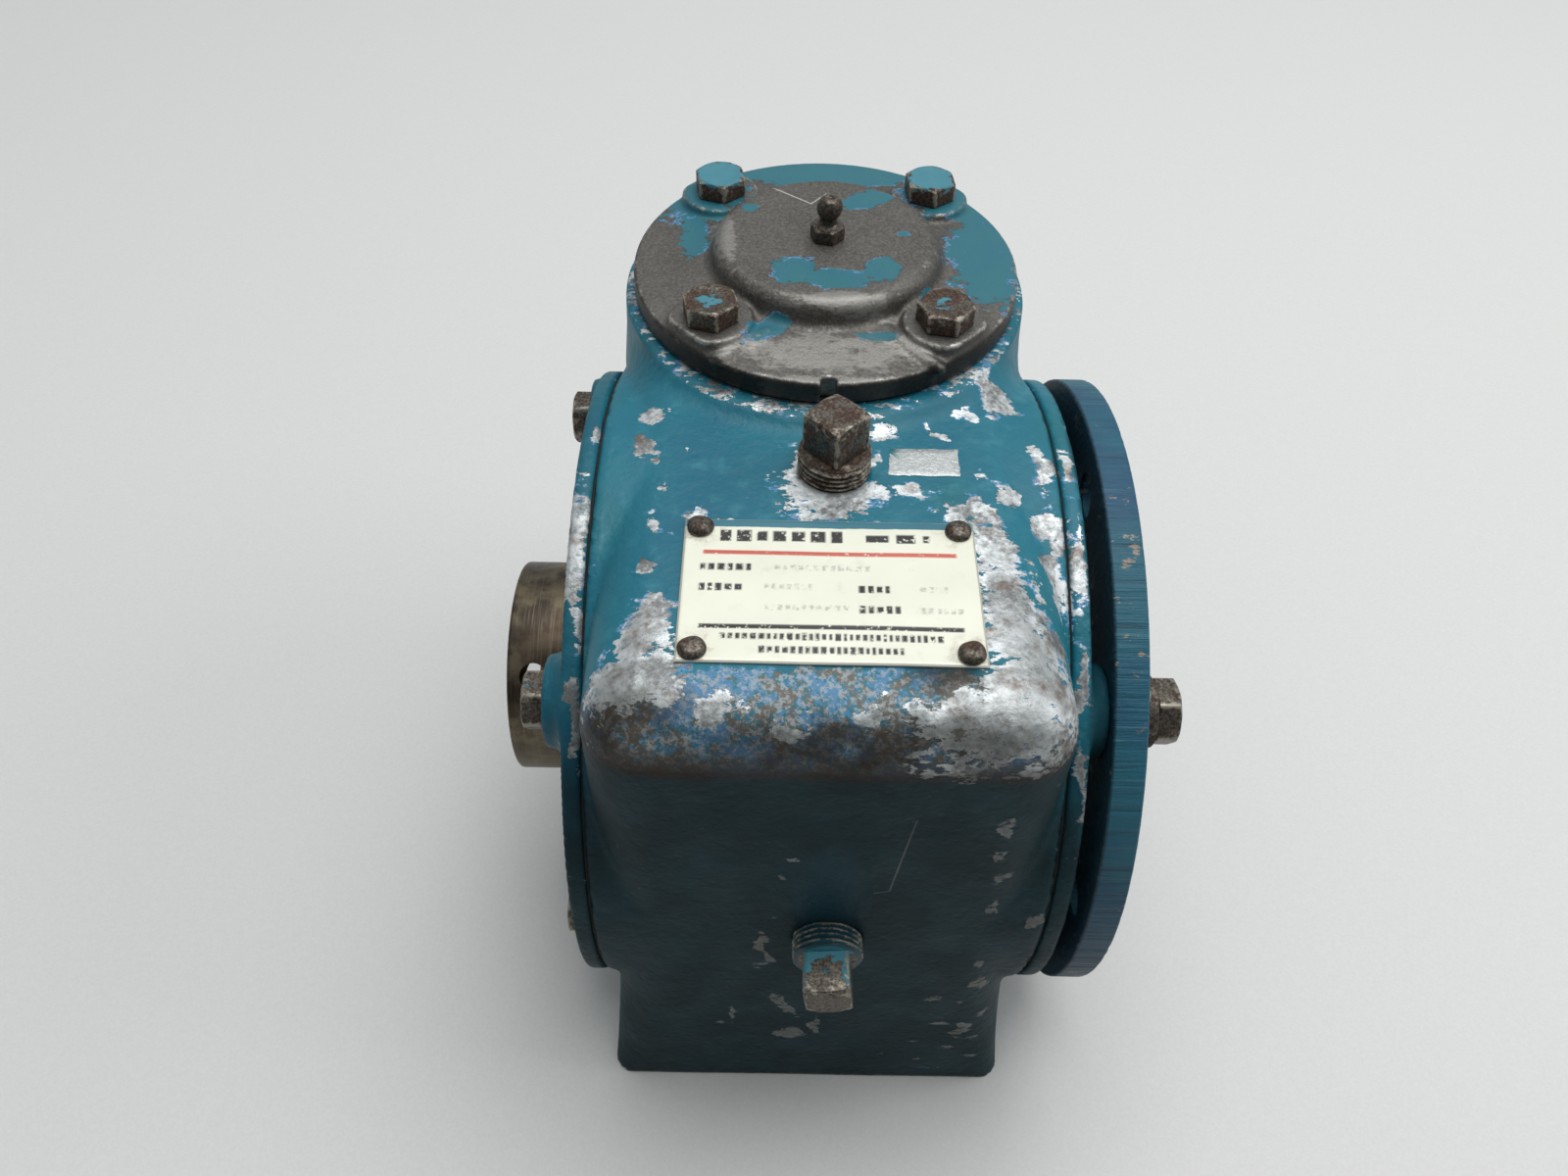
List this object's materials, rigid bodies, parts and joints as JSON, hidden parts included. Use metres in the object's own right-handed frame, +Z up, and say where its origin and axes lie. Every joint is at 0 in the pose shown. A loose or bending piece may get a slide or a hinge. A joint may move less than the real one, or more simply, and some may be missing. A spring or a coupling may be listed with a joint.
{
  "type": "worm gearbox",
  "caption": "Right-angle worm gearbox: cast case with round side covers, bolted output flange, hollow output shaft, upright worm under a greased bearing cap.",
  "frame": {"origin": "on the base plane, straight below the output shaft axis and midway between the side faces of the case", "axes": "+X along the output shaft towards the output flange, +Y from the flat front towards the worm column, +Z up, along the worm axis"},
  "size_m": [0.1618, 0.2176, 0.1977],
  "materials": {
    "blue_paint": "worn semi-gloss enamel on cast iron, chipped to primer and bare metal",
    "bare_iron": "rubbed bare cast iron with remains of blue paint",
    "dark_steel": "turned steel with a brown oxide film",
    "rusty_steel": "rusty zinc-plated steel with paint remains",
    "ground_steel": "ground bearing steel",
    "bronze": "machined bronze",
    "rubber": "matt oil seal rubber",
    "gasket_fibre": "dark oiled gasket sheet",
    "plate_enamel": "aged cream enamel on thin metal"
  },
  "bodies": {
    "case": {"housing": "blue_paint", "left_cover": "blue_paint", "right_cover": "blue_paint", "left_cover_gasket": "gasket_fibre", "right_cover_gasket": "gasket_fibre", "left_cover_bolt_1": "rusty_steel", "left_cover_bolt_2": "rusty_steel", "left_cover_bolt_3": "rusty_steel", "left_cover_bolt_4": "rusty_steel", "output_flange": "blue_paint", "flange_bolt_1": "dark_steel", "flange_bolt_2": "dark_steel", "flange_bolt_3": "dark_steel", "flange_bolt_4": "dark_steel", "flange_bolt_spacer_1": "rusty_steel", "flange_bolt_spacer_2": "rusty_steel", "flange_bolt_spacer_3": "rusty_steel", "flange_bolt_spacer_4": "rusty_steel", "worm_cap": "bare_iron", "worm_cap_gasket": "gasket_fibre", "cap_bolt_1": "rusty_steel", "cap_bolt_2": "rusty_steel", "cap_bolt_3": "rusty_steel", "cap_bolt_4": "rusty_steel", "grease_fitting": "rusty_steel", "filler_plug": "rusty_steel", "level_plug": "rusty_steel", "nameplate": "plate_enamel", "nameplate_rivet_1": "rusty_steel", "nameplate_rivet_2": "rusty_steel", "nameplate_rivet_3": "rusty_steel", "nameplate_rivet_4": "rusty_steel", "left_output_bearing_cup": "ground_steel", "right_output_bearing_cup": "ground_steel", "left_output_seal": "rubber", "right_output_seal": "rubber", "upper_worm_bearing_cup": "ground_steel", "lower_worm_bearing_cup": "ground_steel", "bore_snap_ring": "ground_steel", "input_seal": "rubber"},
    "output": {"output_shaft": "dark_steel", "shaft_collar": "dark_steel", "worm_wheel": "bronze", "wheel_key": "ground_steel", "left_output_bearing_cone": "ground_steel", "right_output_bearing_cone": "ground_steel"},
    "input": {"worm": "ground_steel", "upper_worm_bearing_cone": "ground_steel", "lower_worm_bearing_cone": "ground_steel", "worm_snap_ring": "ground_steel"}
  },
  "joints": [
    {"name": "output_turn", "type": "hinge", "parent": "case", "child": "output", "pos_m": [0, 0, 0.086], "axis": [1, 0, 0], "continuous": true},
    {"name": "worm_turn", "type": "hinge", "parent": "case", "child": "input", "pos_m": [0, 0.0635, 0.086], "axis": [0, 0, 1], "continuous": true}
  ],
  "couplings": [
    {"joint": "worm_turn", "follows": "output_turn", "ratio": -15}
  ]
}
